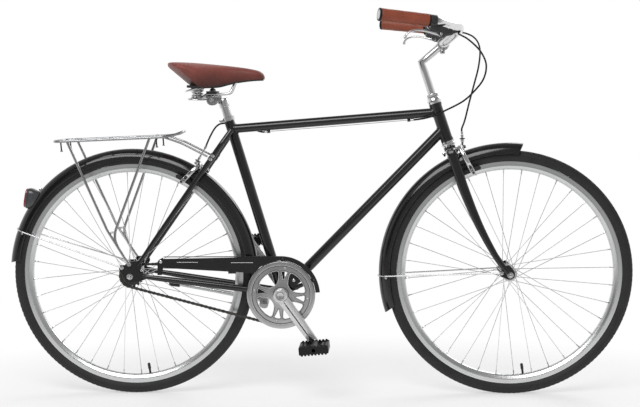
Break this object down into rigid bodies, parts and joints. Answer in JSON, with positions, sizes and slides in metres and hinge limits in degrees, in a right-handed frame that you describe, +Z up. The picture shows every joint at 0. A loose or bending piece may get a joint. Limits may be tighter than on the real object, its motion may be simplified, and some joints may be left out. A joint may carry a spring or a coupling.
{
  "type": "city bicycle",
  "caption": "City bike with a diamond frame, curved-back handlebar, sprung saddle, fenders, rear rack, side-pull rim brakes, chainguard and kickstand",
  "frame": {"origin": "on the ground, under the middle of the bike's length and width", "axes": "+X ahead, +Y to the rider's left, +Z up"},
  "size_m": [1.7776, 0.5828, 1.0804],
  "materials": {
    "black_paint": "gloss black enamel",
    "polished_alloy": "polished aluminium",
    "satin_alloy": "satin aluminium",
    "bright_steel": "bright plated steel",
    "dark_steel": "oiled dark steel",
    "black_plastic": "satin black moulded plastic",
    "tyre_rubber": "matt black tyre rubber",
    "brown_leather": "smooth red-brown leather",
    "tan_leather": "orange-brown leather",
    "red_lens": "clear red moulded lens"
  },
  "bodies": {
    "frame": {"frame": "black_paint", "upper_head_cup": "polished_alloy", "lower_head_cup": "polished_alloy", "bottom_bracket": "dark_steel", "seat_collar": "polished_alloy", "rear_axle": "bright_steel", "rear_fender": "black_paint", "rear_fender_stay": "bright_steel", "tail_light_housing": "black_plastic", "tail_light_lens": "red_lens", "rack": "satin_alloy", "chainguard": "black_paint", "rear_brake_bolt": "bright_steel", "rear_brake_cable_rear": "black_plastic", "rear_brake_cable_front": "black_plastic", "stand_mount": "dark_steel", "chain": "dark_steel"},
    "stand": {"stand_leg": "satin_alloy"},
    "saddle": {"seatpost": "polished_alloy", "seat_clamp": "dark_steel", "saddle_rails": "polished_alloy", "saddle_cover": "brown_leather", "saddle_spring_right": "bright_steel", "saddle_spring_left": "bright_steel"},
    "steering": {"fork": "black_paint", "headset_locknut": "polished_alloy", "stem": "polished_alloy", "handlebar": "polished_alloy", "grip_right": "tan_leather", "grip_left": "tan_leather", "brake_bracket_right": "dark_steel", "brake_bracket_left": "dark_steel", "front_brake_bolt": "bright_steel", "front_brake_cable": "black_plastic", "front_fender": "black_paint", "front_fender_stay": "bright_steel", "front_axle": "bright_steel"},
    "brake_lever_right": {"brake_lever_right": "polished_alloy"},
    "brake_lever_left": {"brake_lever_left": "polished_alloy"},
    "front_brake_right": {"front_brake_arm_right": "polished_alloy", "front_brake_pad_right": "tyre_rubber"},
    "front_brake_left": {"front_brake_arm_left": "polished_alloy", "front_brake_pad_left": "tyre_rubber"},
    "rear_brake_right": {"rear_brake_arm_right": "polished_alloy", "rear_brake_pad_right": "tyre_rubber"},
    "rear_brake_left": {"rear_brake_arm_left": "polished_alloy", "rear_brake_pad_left": "tyre_rubber"},
    "front_wheel": {"front_tyre": "tyre_rubber", "front_rim": "polished_alloy", "front_hub": "polished_alloy"},
    "rear_wheel": {"rear_tyre": "tyre_rubber", "rear_rim": "polished_alloy", "rear_hub": "polished_alloy"},
    "freewheel": {"rear_sprocket": "dark_steel"},
    "crank": {"crank_spindle": "bright_steel", "crank_right": "satin_alloy", "crank_left": "satin_alloy", "chainring": "polished_alloy"},
    "pedal_right": {"pedal_right": "black_plastic"},
    "pedal_left": {"pedal_left": "black_plastic"}
  },
  "joints": [
    {"name": "steering_turn", "type": "hinge", "parent": "frame", "child": "steering", "pos_m": [0.36916, 0, 0.7218], "axis": [-0.3107, 0, 0.9505], "range_deg": [-60, 60], "deforming": ["rear_brake_cable_front"]},
    {"name": "front_wheel_spin", "type": "hinge", "parent": "steering", "child": "front_wheel", "pos_m": [0.54184, 0, 0.347], "axis": [0, 1, 0], "continuous": true},
    {"name": "rear_wheel_spin", "type": "hinge", "parent": "frame", "child": "rear_wheel", "pos_m": [-0.53056, 0, 0.347], "axis": [0, 1, 0], "continuous": true},
    {"name": "crank_spin", "type": "hinge", "parent": "frame", "child": "crank", "pos_m": [-0.10308, 0, 0.292], "axis": [0, 1, 0], "continuous": true, "deforming": ["chain"]},
    {"name": "freewheel_spin", "type": "hinge", "parent": "frame", "child": "freewheel", "pos_m": [-0.53056, -0.044, 0.347], "axis": [0, 1, 0], "continuous": true},
    {"name": "pedal_right_spin", "type": "hinge", "parent": "crank", "child": "pedal_right", "pos_m": [-0.00529, -0.082, 0.1554], "axis": [0, 1, 0], "continuous": true},
    {"name": "pedal_left_spin", "type": "hinge", "parent": "crank", "child": "pedal_left", "pos_m": [-0.20088, 0.082, 0.4286], "axis": [0, 1, 0], "continuous": true},
    {"name": "brake_lever_right_pull", "type": "hinge", "parent": "steering", "child": "brake_lever_right", "pos_m": [0.3431, -0.22701, 1.01352], "axis": [-0.29, 0.957, 0], "range_deg": [0, 8], "stiffness_Nm_per_rad": 0.8, "springref_deg": -14.32},
    {"name": "brake_lever_left_pull", "type": "hinge", "parent": "steering", "child": "brake_lever_left", "pos_m": [0.3431, 0.22701, 1.01352], "axis": [0.29, 0.957, 0], "range_deg": [0, 8], "stiffness_Nm_per_rad": 0.8, "springref_deg": -14.32},
    {"name": "front_brake_right_close", "type": "hinge", "parent": "steering", "child": "front_brake_right", "pos_m": [0.39951, 0, 0.69974], "axis": [0.9505, 0, 0.3107], "range_deg": [0, 1.4]},
    {"name": "front_brake_left_close", "type": "hinge", "parent": "steering", "child": "front_brake_left", "pos_m": [0.39951, 0, 0.69974], "axis": [0.9505, 0, 0.3107], "range_deg": [-1.4, 0]},
    {"name": "rear_brake_right_close", "type": "hinge", "parent": "frame", "child": "rear_brake_right", "pos_m": [-0.33084, 0, 0.65503], "axis": [-0.8161, 0, 0.578], "range_deg": [-1.4, 0]},
    {"name": "rear_brake_left_close", "type": "hinge", "parent": "frame", "child": "rear_brake_left", "pos_m": [-0.33084, 0, 0.65503], "axis": [-0.8161, 0, 0.578], "range_deg": [0, 1.4]},
    {"name": "stand_swing", "type": "hinge", "parent": "frame", "child": "stand", "pos_m": [-0.15908, 0.034, 0.256], "axis": [-0.132, -0.8601, -0.4927], "range_deg": [0, 104]},
    {"name": "seatpost_slide", "type": "slide", "parent": "frame", "child": "saddle", "axis": [-0.284, 0, 0.9588], "range_m": [-0.02, 0.05]}
  ],
  "couplings": [
    {"joint": "freewheel_spin", "follows": "crank_spin", "ratio": 2.75},
    {"joint": "front_brake_right_close", "follows": "brake_lever_left_pull", "ratio": 0.175},
    {"joint": "front_brake_left_close", "follows": "brake_lever_left_pull", "ratio": -0.175},
    {"joint": "rear_brake_right_close", "follows": "brake_lever_right_pull", "ratio": -0.175},
    {"joint": "rear_brake_left_close", "follows": "brake_lever_right_pull", "ratio": 0.175}
  ]
}
